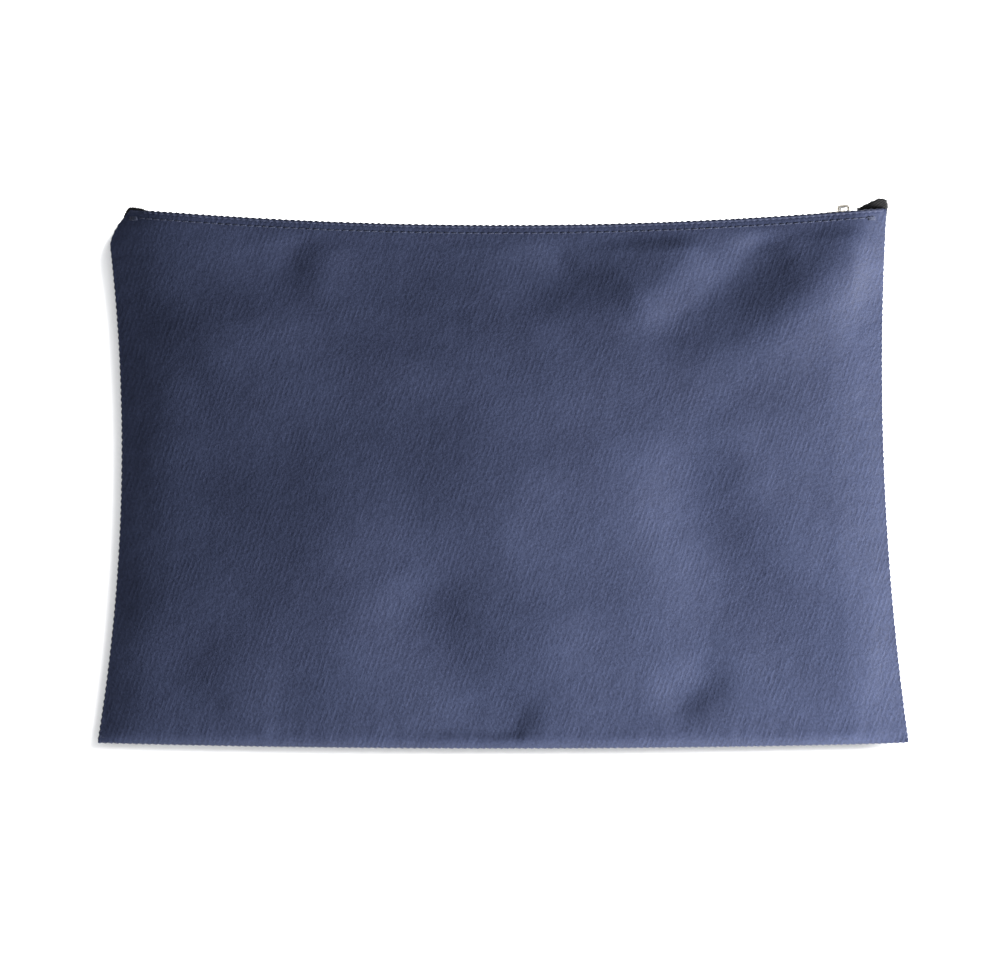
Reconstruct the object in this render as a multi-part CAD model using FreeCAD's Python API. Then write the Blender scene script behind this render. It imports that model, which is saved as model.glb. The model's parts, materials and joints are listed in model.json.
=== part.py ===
import FreeCAD, Part
import math
import os

from FreeCAD import Vector

# A flat zip pouch lying on its back panel. X runs along the zip, +Y points to the zip,
# +Z points up out of the front panel. Millimetres.

# Outline in plan
BOTTOM_Y = -113.7         # lowest point of the bowed bottom seam
BOTTOM_RISE = 2.3         # how far the bottom corners sit above that point
HALF_BOTTOM = 168.0
LEFT_X, LEFT_WAIST_Y, LEFT_FLARE = -157.3, 10.0, 6.8e-4
RIGHT_X, RIGHT_WAIST_Y, RIGHT_FLARE = 156.9, 45.0, 4.5e-4
CUT_CORNER_Y, CUT_CORNER_HEIGHT, CUT_CORNER_WIDTH = 93.4, 15.1, 9.9
CUT_CORNER_POWER = 1.6
HEM_Y = 102.0             # top edge at the middle of the bag
HEM_R = 1754.0            # the top edge sags on this radius
PIVOT_Y = HEM_Y + HEM_R   # centre of the top edge and of the zip
UP = Vector(0, 0, 1)
PIVOT = Vector(0, PIVOT_Y, 0)

# Cloth and zip sizes
CLOTH = 0.7
HEM_DEPTH = 11.0          # depth of the folded hem, which is two plies thick
HEM_STEP = 4.0            # length over which one ply becomes two
DOME = 11.0               # rise of the front panel above its seam
DOME_RUN = 60.0           # distance from the seams over which it rises
RIM_RUN = 22.0            # width of the lifted rim of the back panel
REST_DEPTH = 0.4          # the back panel's middle is made this much deeper, then cut flat
ZIP_Z = 6.2               # height of the zip's middle and of the seams
HEM_Z = 12.4              # top face of the front hem
HEM_FLAT, HEM_BLEND = 12.0, 50.0   # depths where the hem's shelf ends and the dome is free
END_RUN = 11.0            # length over which the hems close at the side seams
END_GAP = 0.9             # half thickness of what is sewn between the hems' ends
END_GAP_DEPTH, END_GAP_RUN = 16.0, 8.0
END_TAB_CLEAR = 0.15
ROWS, COLUMNS = 36, 48    # points through which each cloth surface passes

RECESS = 2.8              # the zip's middle below the hem's edge
ZIP_R = HEM_R + RECESS
ZIP_Y = HEM_Y - RECESS
TAPE = 0.55
TAPE_IN = 4.7             # outer face of each tape from the zip's middle
TAPE_DEPTH = 10.0
TAPE_EDGE = 1.4           # the tapes' free edges from the zip's middle
TAPE_HALF = 146.0
COIL_TOP, COIL_WIDE, COIL_GAP = 1.5, 2.3, 0.1
COIL_START, COIL_END = -133.0, 141.0
COIL_THREAD = (1.5, 2.1)  # span of the stitching on each coil, from the zip's middle
COIL_THREAD_THICK = 0.12
STOP_STARTS, STOP_ENDS = TAPE_HALF + 0.5, TAPE_HALF + 2.3
STOP_SPAN, STOP_OVER = (0.7, 2.7), 0.2
BOTTOM_STOP_LONG, BOTTOM_STOP_HALF, BOTTOM_STOP_OVER = 1.6, 2.5, 0.3
BACK_TACK, BACK_TACK_THICK = 3.0, 0.8   # thread bars that close the ends
BACK_TACK_X, BACK_TACK_Y = 152.3, 105.0
STITCH_ROW = (-0.7, -0.3)  # topstitching below the hem's edge, from the zip's middle
STITCH_PROUD = 0.05

# Sewing inside the side and bottom seams: distances in from the edge and half thickness
ALLOWANCE = (1.2, 10.0, 0.25)
SEAM_THREAD = (2.0, 2.4, 0.9)
OVERLOCK = (7.5, 10.4, 0.45)
SEAM_POINTS = 12

# The moving middle of the front panel
MOUTH_HALF = 118.0
HINGE_Y = 9.5
CLEAR = 0.5

# Slider and pull
SLIDER_AT = 141.5
SLIDER_HALF = 4.6
SLIDER_TAIL, SLIDER_MOUTH = 3.3, 3.6                # half widths at the two ends
SLIDER_SHOULDERS = [(-3.2, 3.5), (2.0, 3.9)]        # along the zip, half width
PLATE_TOP, PLATE_BOTTOM, PLATE = 1.75, -0.85, 0.8
SLOT_TOP = 0.3
FLANGE = 0.9
WEDGE = [(0.3, 0), (1.6, 1.0), (3.4, 1.25), (3.4, -1.25), (1.6, -1.0)]
CROWN_HALF, CROWN_WIDE, CROWN_WALL, CROWN_R = 2.6, 0.9, 1.1, 1.3
CROWN_TOP = 6.1
BAR_Y, BAR_R = 3.3, 0.55
LEAF_START, LEAF_END, LEAF_HALF, LEAF = -1.28, 1.2, 0.5, 0.3
PIN_AT = -1.1             # locking pin, from the slider's middle
PIN_R, PIN_HOLE_R, PIN_GAP = 0.3, 0.45, 0.15
PULL_LENGTH, PULL_WIDE, PULL_THICK = 19.0, 2.5, 0.9
PULL_HOLE, PULL_LEG_IN, PULL_LEG_OUT = 5.7, 1.3, 2.2
PULL_SHOULDER, PULL_CHAMFER = 1.0, 1.2
PULL_TILT = 2.3
GRIP_SLOT = (2.5, 7.5, 1.2)   # start and end from the pull's free end, half width
OVERRUN = 1.0             # how far a cutter runs past what it cuts


def smooth(t):
    """0 to 1 with no kink in slope or curvature at either end."""
    t = max(0.0, min(1.0, t))
    return t * t * t * (10 - 15 * t + 6 * t * t)


def mix(a, b, t):
    return a + (b - a) * t


def bottom_y(x):
    return BOTTOM_Y + BOTTOM_RISE * (x / HALF_BOTTOM) ** 2


def top_y(x):
    return PIVOT_Y - math.sqrt(HEM_R ** 2 - x ** 2)


def left_x(y):
    cut = max(0.0, (y - CUT_CORNER_Y) / CUT_CORNER_HEIGHT)
    return LEFT_X - LEFT_FLARE * (y - LEFT_WAIST_Y) ** 2 + CUT_CORNER_WIDTH * cut ** CUT_CORNER_POWER


def right_x(y):
    return RIGHT_X + RIGHT_FLARE * (y - RIGHT_WAIST_Y) ** 2


def plan(u, v):
    """Point in plan: u runs from the left seam to the right one, v from the bottom to the hem."""
    x = HALF_BOTTOM * (2 * u - 1)
    for _ in range(6):
        y = mix(bottom_y(x), top_y(x), v)
        x = mix(left_x(y), right_x(y), u)
    return x, y


def thickness(y_down):
    """Cloth thickness at a depth below the top edge: the hem is folded double."""
    return CLOTH * (1 + smooth((HEM_DEPTH - y_down) / HEM_STEP))


def end_gap(y_down):
    return END_GAP * smooth((END_GAP_DEPTH - y_down) / END_GAP_RUN)


def shelf(y_down):
    """1 in the straight hem beside the zip, 0 where the panel is free."""
    return smooth((HEM_BLEND - y_down) / (HEM_BLEND - HEM_FLAT))


def front_outer(x, y):
    """Height of the front panel's outer face."""
    to_left, to_right = x - left_x(y), right_x(y) - x
    to_bottom, to_top = y - bottom_y(x), top_y(x) - y
    rise = 1.0
    for gap in (to_left, to_right, to_bottom):
        rise *= 1 - (1 - max(0.0, min(1.0, gap / DOME_RUN))) ** 2
    dome = ZIP_Z + CLOTH + DOME * rise
    rim = ZIP_Z + end_gap(to_top) + thickness(to_top)
    hem = mix(rim, HEM_Z, smooth(to_left / END_RUN) * smooth(to_right / END_RUN))
    return mix(dome, hem, shelf(to_top))


def front_inner(x, y):
    return front_outer(x, y) - thickness(top_y(x) - y)


def back_height(x, y, middle):
    """Height of the back panel's outer face: its middle is flat and its rim lifts to the seam."""
    to_top = top_y(x) - y
    run = mix(RIM_RUN, END_RUN, shelf(to_top))
    flat = 1.0
    for gap in (x - left_x(y), right_x(y) - x, y - bottom_y(x)):
        flat *= smooth(gap / run)
    return mix(ZIP_Z - end_gap(to_top) - thickness(to_top), middle, flat)


def back_outer(x, y):
    return back_height(x, y, -REST_DEPTH)


def back_inner(x, y):
    return back_height(x, y, 0) + thickness(top_y(x) - y)


def cosine_steps(count):
    """0 to 1, closer together at both ends."""
    return [0.5 - 0.5 * math.cos(math.pi * i / count) for i in range(count + 1)]


def surface(height):
    rows = []
    for v in cosine_steps(ROWS):
        row = []
        for u in cosine_steps(COLUMNS):
            x, y = plan(u, v)
            row.append(Vector(x, y, height(x, y)))
        rows.append(row)
    sheet = Part.BSplineSurface()
    sheet.interpolate(rows)
    return sheet.toShape()


def panel(height_a, height_b):
    """Closed cloth panel between two surfaces over the same outline."""
    face_a, face_b = surface(height_a), surface(height_b)
    sides = [Part.makeRuledSurface(a, b) for a, b in zip(face_a.Edges, face_b.Edges)]
    shell = Part.makeShell([face_a, face_b] + sides)
    shell.sewShape()
    solid = Part.Solid(Part.Shell(shell.Faces))
    solid.fix(1e-4, 1e-4, 1e-3)
    if solid.Volume < 0:
        solid.reverse()
    return solid


def back_panel():
    """The panel cut level, so that it has one true plane to lie on."""
    above = Part.makeBox(4 * HALF_BOTTOM, 4 * HALF_BOTTOM, 4 * HEM_Z,
                         Vector(-2 * HALF_BOTTOM, -2 * HALF_BOTTOM, 0))
    return panel(back_outer, back_inner).common(above)


def mouth_block(margin):
    low = Vector(-MOUTH_HALF - margin, HINGE_Y + CLEAR - margin, -1)
    return Part.makeBox(2 * (MOUTH_HALF + margin), 2 * HEM_Y, 4 * HEM_Z, low)


def along_zip(shape, at):
    """Moves a shape made at the middle of the zip along its arc."""
    shape.rotate(PIVOT, UP, math.degrees(at / ZIP_R))
    return shape


def zip_band(section, start, end):
    """Solid of one section (outward, height from the zip's middle) along the zip's arc."""
    points = [Vector(0, ZIP_Y + y, ZIP_Z + z) for y, z in section]
    face = along_zip(Part.Face(Part.makePolygon(points + points[:1])), start)
    return face.revolve(PIVOT, UP, math.degrees((end - start) / ZIP_R))


def block(y0, y1, z0, z1):
    return [(y0, z0), (y1, z0), (y1, z1), (y0, z1)]


def flipped(section):
    """The same section on the other side of the zip."""
    return [(y, -z) for y, z in section]


TAPE_SECTION = [(0, TAPE_EDGE), (0, TAPE_IN), (-TAPE_DEPTH, TAPE_IN), (-TAPE_DEPTH, TAPE_IN - TAPE),
                (-TAPE, TAPE_IN - TAPE), (-TAPE, TAPE_EDGE)]
COIL_SECTION = block(0, COIL_TOP, COIL_GAP, COIL_WIDE)
COIL_THREAD_SECTION = block(COIL_TOP, COIL_TOP + COIL_THREAD_THICK, *COIL_THREAD)
TOPSTITCH_SECTION = block(*STITCH_ROW, TAPE_IN - TAPE, HEM_Z - ZIP_Z + STITCH_PROUD)
BACK_TOPSTITCH_SECTION = block(*STITCH_ROW, -ZIP_Z, -(TAPE_IN - TAPE))
STOP_SECTION = block(0, COIL_TOP + STOP_OVER, *STOP_SPAN)
BOTTOM_STOP_SECTION = block(-BOTTOM_STOP_OVER, COIL_TOP + BOTTOM_STOP_OVER,
                            -BOTTOM_STOP_HALF, BOTTOM_STOP_HALF)


def split_band(section, start, end):
    """The two end pieces of a front band, on each side of the moving mouth."""
    edge = MOUTH_HALF + CLEAR
    return Part.makeCompound([zip_band(section, start, -edge), zip_band(section, edge, end)])


def middle_band(section):
    edge = MOUTH_HALF - CLEAR
    return zip_band(section, -edge, edge)


def slider_outline(shrink, reach):
    """Plan of the slider seen from outside the bag, wider at its mouth."""
    half = [(-reach, SLIDER_TAIL)] + SLIDER_SHOULDERS + [(reach, SLIDER_MOUTH)]
    upper = [(s, z - shrink) for s, z in half]
    return upper + [(s, -z) for s, z in reversed(upper)]


def plate(outline, y0, y1):
    """Prism of an outline (along the zip, height) from y0 to y1 outward of the zip's middle."""
    points = [Vector(s, ZIP_Y + y0, ZIP_Z + z) for s, z in outline]
    return Part.Face(Part.makePolygon(points + points[:1])).extrude(Vector(0, y1 - y0, 0))


def slider_body():
    outline = slider_outline(0, SLIDER_HALF)
    top = plate(outline, PLATE_TOP, PLATE_TOP + PLATE)
    bottom = plate(outline, PLATE_BOTTOM - PLATE, PLATE_BOTTOM)
    channel = plate(slider_outline(FLANGE, SLIDER_HALF + OVERRUN), SLOT_TOP - OVERRUN, PLATE_TOP)
    flanges = plate(outline, SLOT_TOP, PLATE_TOP).cut(channel)
    wedge = plate(WEDGE, PLATE_BOTTOM - PLATE / 2, PLATE_TOP + PLATE / 2)
    hole_foot = Vector(PIN_AT, ZIP_Y + PLATE_TOP - OVERRUN / 2, ZIP_Z)
    pin_hole = Part.makeCylinder(PIN_HOLE_R, PLATE + OVERRUN, hole_foot, Vector(0, 1, 0))
    body = top.fuse([bottom, flanges, wedge]).removeSplitter().cut(pin_hole)
    return along_zip(body.Solids[0], SLIDER_AT)


def arch(half, top, radius):
    """Arch with rounded shoulders, standing on the slider's top plate."""
    foot = ZIP_Y + PLATE_TOP + PLATE
    top_line = ZIP_Y + top
    lean = radius * (1 - math.sqrt(0.5))
    left, right, z = -half, half, ZIP_Z

    def at(x, y):
        return Vector(x, y, z)

    edges = [
        Part.LineSegment(at(left, foot), at(left, top_line - radius)),
        Part.Arc(at(left, top_line - radius), at(left + lean, top_line - lean),
                 at(left + radius, top_line)),
        Part.LineSegment(at(left + radius, top_line), at(right - radius, top_line)),
        Part.Arc(at(right - radius, top_line), at(right - lean, top_line - lean),
                 at(right, top_line - radius)),
        Part.LineSegment(at(right, top_line - radius), at(right, foot)),
        Part.LineSegment(at(right, foot), at(left, foot)),
    ]
    return Part.Face(Part.Wire([edge.toShape() for edge in edges]))


def slider_crown():
    outer = arch(CROWN_HALF, CROWN_TOP, CROWN_R)
    window = arch(CROWN_HALF - CROWN_WALL, CROWN_TOP - CROWN_WALL, CROWN_R - CROWN_WALL)
    face = outer.cut(window)
    face.translate(Vector(0, 0, -CROWN_WIDE))
    return along_zip(face.extrude(Vector(0, 0, 2 * CROWN_WIDE)).Solids[0], SLIDER_AT)


def lock_spring():
    """Leaf under the crown's top with the pin that drops between the coils."""
    leaf_top = CROWN_TOP - CROWN_WALL
    outline = [(LEAF_START, -LEAF_HALF), (LEAF_END, -LEAF_HALF),
               (LEAF_END, LEAF_HALF), (LEAF_START, LEAF_HALF)]
    leaf = plate(outline, leaf_top - LEAF, leaf_top)
    pin_foot = COIL_TOP + PIN_GAP
    pin = Part.makeCylinder(PIN_R, leaf_top - LEAF / 2 - pin_foot, Vector(PIN_AT, ZIP_Y + pin_foot, ZIP_Z),
                            Vector(0, 1, 0))
    return along_zip(leaf.fuse(pin).Solids[0], SLIDER_AT)


def pull_tab():
    """Plate with a slot at one end: the slot's bar turns under the crown."""
    low, high = BAR_Y - PULL_THICK / 2, BAR_Y + PULL_THICK / 2
    outline = [(0, -PULL_LEG_OUT), (-PULL_HOLE, -PULL_LEG_OUT), (-PULL_HOLE - PULL_SHOULDER, -PULL_WIDE),
               (PULL_CHAMFER - PULL_LENGTH, -PULL_WIDE), (-PULL_LENGTH, PULL_CHAMFER - PULL_WIDE)]
    outline += [(s, -z) for s, z in reversed(outline)]
    grip_start, grip_end, grip_half = GRIP_SLOT
    tab = plate(outline, low, high)
    for start, end, half in ((-PULL_HOLE, OVERRUN, PULL_LEG_IN),
                             (grip_start - PULL_LENGTH, grip_end - PULL_LENGTH, grip_half)):
        slot = [(start, -half), (end, -half), (end, half), (start, half)]
        tab = tab.cut(plate(slot, low - OVERRUN, high + OVERRUN))
    bar = Part.makeCylinder(BAR_R, 2 * PULL_LEG_OUT, Vector(0, ZIP_Y + BAR_Y, ZIP_Z - PULL_LEG_OUT))
    tab = tab.fuse(bar).removeSplitter()
    tab.rotate(Vector(0, ZIP_Y + BAR_Y, 0), UP, PULL_TILT)
    return along_zip(tab.Solids[0], SLIDER_AT)


def end_tab(outline):
    """Folded tape tab sewn between the hems over one end of the zip."""
    half = END_GAP - END_TAB_CLEAR
    points = [Vector(x, y, ZIP_Z - half) for x, y in outline]
    return Part.Face(Part.makePolygon(points + points[:1])).extrude(Vector(0, 0, 2 * half))


def back_tack(x, y):
    """Short bar of thread through both hems and the end tab."""
    low, high = back_height(x, y, 0), front_outer(x, y)
    corner = Vector(x - BACK_TACK / 2, y - BACK_TACK_THICK / 2, low)
    return Part.makeBox(BACK_TACK, BACK_TACK_THICK, high - low + 2 * STITCH_PROUD, corner)


END_TABS = {
    "right": [(149.5, 101), (149.5, 109.3), (147.4, 109.8), (155.4, 113.7), (158.9, 113.0), (159.5, 109.5),
              (158.1, 101)],
    "left": [(-149, 101), (-147.5, 108.9), (-154.2, 109.7), (-155.6, 108.2), (-157.4, 101)],
}


def inset_line(side, inset):
    """Points of a seam line in plan, moved inward."""
    steps = cosine_steps(SEAM_POINTS)
    if side == "bottom":
        ends = (left_x(BOTTOM_Y) + inset, right_x(BOTTOM_Y) - inset)
        return [Vector(x, bottom_y(x) + inset, 0) for x in (mix(*ends, t) for t in steps)]
    low = bottom_y(HALF_BOTTOM) + inset
    heights = [mix(low, CUT_CORNER_Y, t) for t in steps]
    if side == "left":
        return [Vector(left_x(y) + inset, y, 0) for y in heights]
    return [Vector(right_x(y) - inset, y, 0) for y in heights]


def seam_band(side, near, far, half_height):
    """Flat band inside one seam, between two insets, centred on the seam's height."""
    curves = []
    for inset in (near, far):
        curve = Part.BSplineCurve()
        curve.interpolate(inset_line(side, inset))
        curves.append(curve.toShape())
    face = Part.makeRuledSurface(*curves)
    face.translate(Vector(0, 0, ZIP_Z - half_height))
    return face.extrude(Vector(0, 0, 2 * half_height))


def build():
    front = panel(front_inner, front_outer)
    nodes = {
        "back_panel": back_panel(),
        "front_panel": front.cut(mouth_block(CLEAR)),
        "front_panel_mouth": front.common(mouth_block(-CLEAR)),
        "zip_tape_back": zip_band(flipped(TAPE_SECTION), -TAPE_HALF, TAPE_HALF),
        "zip_tape_front": middle_band(TAPE_SECTION),
        "zip_tape_front_ends": split_band(TAPE_SECTION, -TAPE_HALF, TAPE_HALF),
        "coil_back": zip_band(flipped(COIL_SECTION), COIL_START, COIL_END),
        "coil_front": middle_band(COIL_SECTION),
        "coil_front_ends": split_band(COIL_SECTION, COIL_START, COIL_END),
        "coil_stitching_back": zip_band(flipped(COIL_THREAD_SECTION), COIL_START, COIL_END),
        "coil_stitching_front": middle_band(COIL_THREAD_SECTION),
        "coil_stitching_front_ends": split_band(COIL_THREAD_SECTION, COIL_START, COIL_END),
        "topstitch_back": zip_band(BACK_TOPSTITCH_SECTION, -TAPE_HALF, TAPE_HALF),
        "topstitch_front": middle_band(TOPSTITCH_SECTION),
        "topstitch_front_ends": split_band(TOPSTITCH_SECTION, -TAPE_HALF, TAPE_HALF),
        "top_stop_front": zip_band(STOP_SECTION, STOP_STARTS, STOP_ENDS),
        "top_stop_back": zip_band(flipped(STOP_SECTION), STOP_STARTS, STOP_ENDS),
        "bottom_stop": zip_band(BOTTOM_STOP_SECTION, COIL_START - BOTTOM_STOP_LONG, COIL_START),
        "slider_body": slider_body(),
        "slider_crown": slider_crown(),
        "lock_spring": lock_spring(),
        "pull_tab": pull_tab(),
    }
    for side, outline in END_TABS.items():
        nodes["end_tab_" + side] = end_tab(outline)
    nodes["back_tack_right"] = back_tack(BACK_TACK_X, BACK_TACK_Y)
    nodes["back_tack_left"] = back_tack(-BACK_TACK_X, BACK_TACK_Y)
    for side in ("left", "right", "bottom"):
        nodes["seam_allowance_" + side] = seam_band(side, *ALLOWANCE)
        nodes["seam_thread_" + side] = seam_band(side, *SEAM_THREAD)
        nodes["overlock_" + side] = seam_band(side, *OVERLOCK)
    return nodes


os.makedirs("parts", exist_ok=True)
for name, shape in build().items():
    print(f"{name:28s} solids {len(shape.Solids)} valid {shape.isValid()} volume {shape.Volume:10.2f}")
    shape.exportStep(os.path.join("parts", name + ".step"))
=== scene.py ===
import json
import math

import bpy
import numpy as np
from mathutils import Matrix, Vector


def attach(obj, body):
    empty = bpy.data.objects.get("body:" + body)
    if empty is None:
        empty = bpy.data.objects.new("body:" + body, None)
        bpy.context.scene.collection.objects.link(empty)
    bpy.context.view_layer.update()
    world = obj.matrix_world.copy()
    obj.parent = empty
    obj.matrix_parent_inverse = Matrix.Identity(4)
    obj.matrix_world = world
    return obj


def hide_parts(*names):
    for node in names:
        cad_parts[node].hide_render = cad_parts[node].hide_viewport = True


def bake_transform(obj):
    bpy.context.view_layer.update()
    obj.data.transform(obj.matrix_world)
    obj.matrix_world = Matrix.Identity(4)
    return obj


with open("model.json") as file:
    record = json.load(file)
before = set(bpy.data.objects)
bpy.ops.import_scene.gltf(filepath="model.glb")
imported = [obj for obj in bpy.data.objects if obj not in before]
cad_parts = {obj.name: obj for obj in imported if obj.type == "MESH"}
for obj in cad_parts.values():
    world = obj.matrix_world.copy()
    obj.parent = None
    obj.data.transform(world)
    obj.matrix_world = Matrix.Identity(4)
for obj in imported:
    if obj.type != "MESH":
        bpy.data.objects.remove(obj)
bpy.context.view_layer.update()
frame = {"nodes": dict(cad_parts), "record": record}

MM = 0.001
BAG, MOUTH, SLIDER, PULL = "bag", "mouth", "slider", "pull"

# ---------------------------------------------------------------- sizes, in millimetres, as in the CAD
BOTTOM_Y, BOTTOM_RISE, HALF_BOTTOM = -113.7, 2.3, 168.0
LEFT_X, LEFT_WAIST_Y, LEFT_FLARE = -157.3, 10.0, 6.8e-4
RIGHT_X, RIGHT_WAIST_Y, RIGHT_FLARE = 156.9, 45.0, 4.5e-4
CUT_CORNER_Y, CUT_CORNER_HEIGHT, CUT_CORNER_WIDTH, CUT_CORNER_POWER = 93.4, 15.1, 9.9, 1.6
HEM_Y, HEM_R = 102.0, 1754.0
PIVOT_Y = HEM_Y + HEM_R
CLOTH, ZIP_Z, HEM_Z = 0.7, 6.2, 12.4
HEM_DEPTH, HEM_STEP = 11.0, 4.0                      # the hem is folded double over this depth
END_GAP, END_GAP_DEPTH, END_GAP_RUN = 0.9, 16.0, 8.0   # half thickness of what is sewn between the hems
DOME = 11.0
RECESS = 2.8
ZIP_R = HEM_R + RECESS
TAPE, TAPE_IN, TAPE_DEPTH, TAPE_HALF = 0.55, 4.7, 10.0, 146.0
COIL_START, COIL_END = -133.0, 141.0
BACK_TACK, BACK_TACK_X, BACK_TACK_Y = 3.0, 152.3, 105.0
HINGE_Y = 9.5


def smooth(t):
    t = np.clip(t, 0, 1)
    return t ** 3 * (10 - 15 * t + 6 * t * t)


def mix(a, b, t):
    return a + (b - a) * t


def bottom_y(x):
    return BOTTOM_Y + BOTTOM_RISE * (x / HALF_BOTTOM) ** 2


def top_y(x):
    return PIVOT_Y - np.sqrt(HEM_R ** 2 - x ** 2)


def left_x(y):
    cut = np.clip((y - CUT_CORNER_Y) / CUT_CORNER_HEIGHT, 0, None)
    return LEFT_X - LEFT_FLARE * (y - LEFT_WAIST_Y) ** 2 + CUT_CORNER_WIDTH * cut ** CUT_CORNER_POWER


def right_x(y):
    return RIGHT_X + RIGHT_FLARE * (y - RIGHT_WAIST_Y) ** 2


def plan(u, v):
    """Outline grid: u from the left seam to the right one, v from the bottom seam to the hem."""
    x = HALF_BOTTOM * (2 * u - 1) + 0 * v
    for _ in range(6):
        y = mix(bottom_y(x), top_y(x), v)
        x = mix(left_x(y), right_x(y), u)
    return x, y


# ---------------------------------------------------------------- the shape of the cloth

# Soft folds of the front panel: start, middle and end of a curve (mm), half widths on its left and
# right hand as it runs, parts of its length over which each end fades, and height (negative for a dent).
# They were placed one by one and then refined by a fit of their shading to the photo's.
FOLDS = [
    # waves that sweep up to the zip at the right
    ((1, 62), (27, 78), (29, 94), (10.5, 16), (0.4, 0.3), -1.5),
    ((43, 69), (58, 77), (82, 103), (14, 8.5), (0.3, 0.3), 2.2),
    ((48, 50), (94, 77), (115, 107), (7.5, 10.5), (0.3, 0.2), -2.1),
    ((76, 37), (129, 73), (151, 120), (10, 12), (0.4, 0.4), 2.3),
    # puckers under the hem
    ((-92, 80), (-89, 87), (-74, 105), (5, 4), (0.4, 0.4), -0.6),
    ((-85, 71), (-76, 80), (-69, 102), (5.5, 6), (0.4, 0.4), 0.8),
    ((-48, 44), (-36, 77), (-33, 86), (24.5, 19), (0.4, 0.4), -2.2),
    ((-18, 62), (-18, 81), (-10, 92), (21.5, 13), (0.4, 0.4), 0.7),
    ((-39, 64), (0, 66), (24, 74), (6.5, 9), (0.4, 0.4), -1.0),
    # broad tongue across the lower left
    ((-147, -115), (-82, -36), (-37, 3), (24, 15), (0.4, 0.2), 1.4),
    ((-6, -48), (-5, -18), (20, 20), (30, 15.5), (0.4, 0.4), 2.0),
    # fold that runs down to the middle of the bottom seam
    ((-47, -38), (-24, -75), (-10, -120), (12.5, 15.5), (0.3, 0.3), -2.6),
    ((-3, -124), (6, -99), (15, -85), (9.5, 6), (0.3, 0.5), -1.9),
    ((16, -89), (20, -66), (26, -46), (13.5, 10), (0.4, 0.4), 1.0),
    # right middle
    ((70, 32), (81, -26), (136, -85), (15.5, 15.5), (0.4, 0.4), -4.0),
    ((91, 35), (97, 0), (104, -21), (8.5, 12.5), (0.4, 0.4), 1.1),
    ((61, -103), (78, -90), (97, -72), (7.5, 6), (0.4, 0.5), -1.7),
    # lower left corner
    ((-153, -94), (-126, -73), (-89, -21), (11.5, 11.5), (0.3, 0.4), -1.3),
    ((-90, -105), (-89, -90), (-90, -76), (5.5, 10), (0.4, 0.4), -0.6),
    ((-120, -95), (-106, -101), (-95, -112), (4.5, 2.5), (0.3, 0.2), 0.4),
    # left side
    ((-126, 22), (-122, 46), (-75, 70), (22, 16.5), (0.4, 0.4), 1.8),
    ((-139, 19), (-136, 28), (-131, 48), (8, 11.5), (0.4, 0.4), 0.6),
    ((-161, 29), (-153, 30), (-147, 34), (2.5, 2.5), (0.1, 0.5), 0.4),
    # slow swells that balance the tone at the lower right and left of the middle
    ((92, -91), (99, -62), (97, -39), (12.5, 10.5), (0.4, 0.4), 1.0),
    ((-79, -48), (-73, -22), (-54, -6), (11.5, 11.5), (0.4, 0.4), 0.8),
]


def fold_height(x, y, start, middle, end, widths, fades, height):
    """A ridge or dent of round section that follows a bowed line and fades at both ends."""
    start, middle, end = (np.array(p, float) for p in (start, middle, end))
    length = np.hypot(*(end - start))
    run = (end - start) / length

    def along_and_off(px, py):
        dx, dy = px - start[0], py - start[1]
        return (dx * run[0] + dy * run[1]) / length, run[0] * dy - run[1] * dx

    middle_along, middle_off = along_and_off(*middle)
    bow = middle_off / (4 * middle_along * (1 - middle_along))
    along, off = along_and_off(x, y)
    off = off - bow * 4 * along * (1 - along)
    left, right = widths
    width = mix(right, left, smooth(0.5 + off / (left + right)))
    fade = smooth(along / fades[0]) * smooth((1 - along) / fades[1])
    return height * fade * np.exp(-off ** 2 / (2 * width ** 2))


def ripples(x, y, seed, longest, shortest, count):
    """Smooth random relief from sine waves of random direction, about 1 high."""
    rng = np.random.default_rng(seed)
    total = np.zeros_like(x)
    for _ in range(count):
        length = math.exp(rng.uniform(math.log(shortest), math.log(longest)))
        angle = rng.uniform(0, math.pi)
        phase = rng.uniform(0, 2 * math.pi)
        total += np.sin(2 * math.pi * (x * math.cos(angle) + y * math.sin(angle)) / length + phase)
    return total / math.sqrt(count / 2)


def gaps(x, y):
    """Distances to the left, right and bottom seams and to the top edge."""
    return x - left_x(y), right_x(y) - x, y - bottom_y(x), top_y(x) - y


# Rises from the left, right and bottom seams: run from the seam and power
BROAD_RISE = ((150, 1.9), (150, 1.9), (95, 2.0))
EDGE_RISE = ((30, 2.5), (22, 1.4), (5, 2))
EDGE_SHARE = 0.21              # part of the dome's height that is gained in the edge's rise
HEM_RISE = ((34, 2.4), (16, 2))   # the hem's rise from its left and right ends
HEM_END_Z = ZIP_Z + 2.2        # its height there
HEM_BLEND, HEM_BLEND_RUN = 46, 35   # where the dome starts to sink to the hem, and over what length

BODY_RIPPLES = (4, 80, 30, 12)      # seed, longest and shortest wave, count
FINE_RIPPLES = (9, 14, 5, 22)
BACK_RIPPLES = (12, 60, 20, 12)

STITCH_PITCH, STITCH_LONG = 3.0, 2.25
STITCH_ROW = 3.2               # the topstitching's distance from the top edge
TRENCH, TRENCH_HALF = 0.07, 0.9     # depth and half width of the trench that it pulls, deeper at each stitch
EDGE_FALL = 0.7                # distance over which a top edge rolls over
PUCKER, PUCKER_PITCH, PUCKER_DEPTH = 0.07, 9.0, 7.0   # waves along the sewn sides


def fold_shift(x, y):
    """How far the folds raise or lower the front panel."""
    to_left, to_right, to_bottom, to_top = gaps(x, y)
    free = smooth(to_left / 16) * smooth(to_right / 16) * smooth(to_bottom / 8) * smooth((to_top - 3.5) / 9)
    total = 0.16 * ripples(x, y, *BODY_RIPPLES)
    for fold in FOLDS:
        total = total + fold_height(x, y, *fold)
    return total * free


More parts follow.
